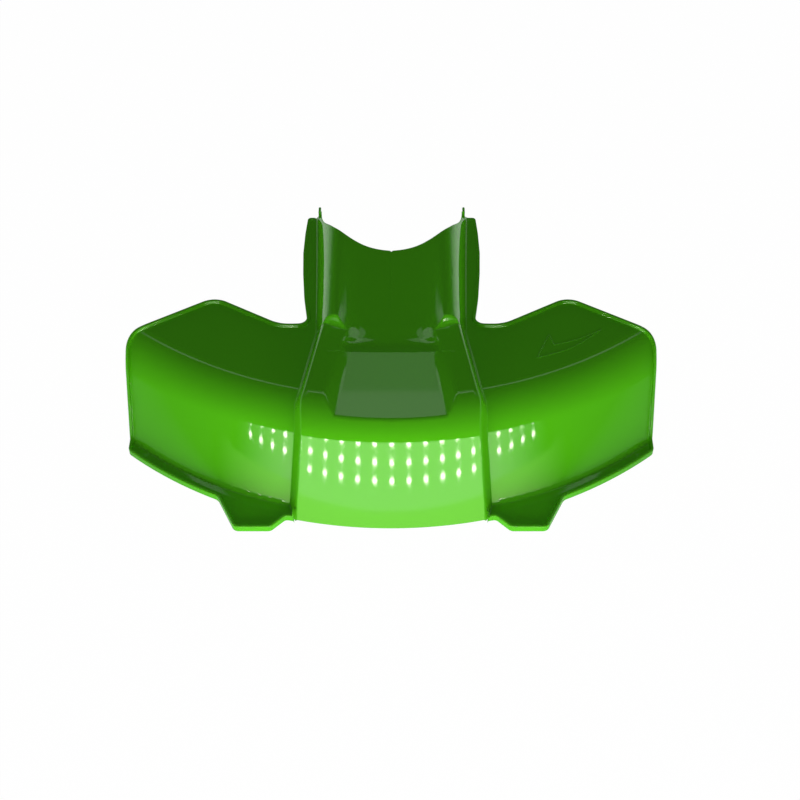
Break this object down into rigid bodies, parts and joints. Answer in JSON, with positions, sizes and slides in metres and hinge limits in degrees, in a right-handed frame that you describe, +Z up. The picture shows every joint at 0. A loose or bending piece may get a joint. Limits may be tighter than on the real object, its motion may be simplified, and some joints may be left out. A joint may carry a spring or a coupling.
{
  "type": "trimmer blade guard",
  "caption": "One-piece moulded cutting guard with an arched skirt, a raised centre, a neck with a half-round notch and two side wings.",
  "frame": {"origin": "on the axis of the half-round notch that goes round the cutting head, at the level of the wing plates' top", "axes": "+Z up along the cutting head's axis, -Y towards the skirt, +X to the right seen from the skirt's side"},
  "size_m": [0.3, 0.2022, 0.0717],
  "materials": {
    "moulded_plastic": "high-gloss moulded green plastic"
  },
  "bodies": {
    "root": {"blade_guard": "moulded_plastic"}
  },
  "joints": []
}
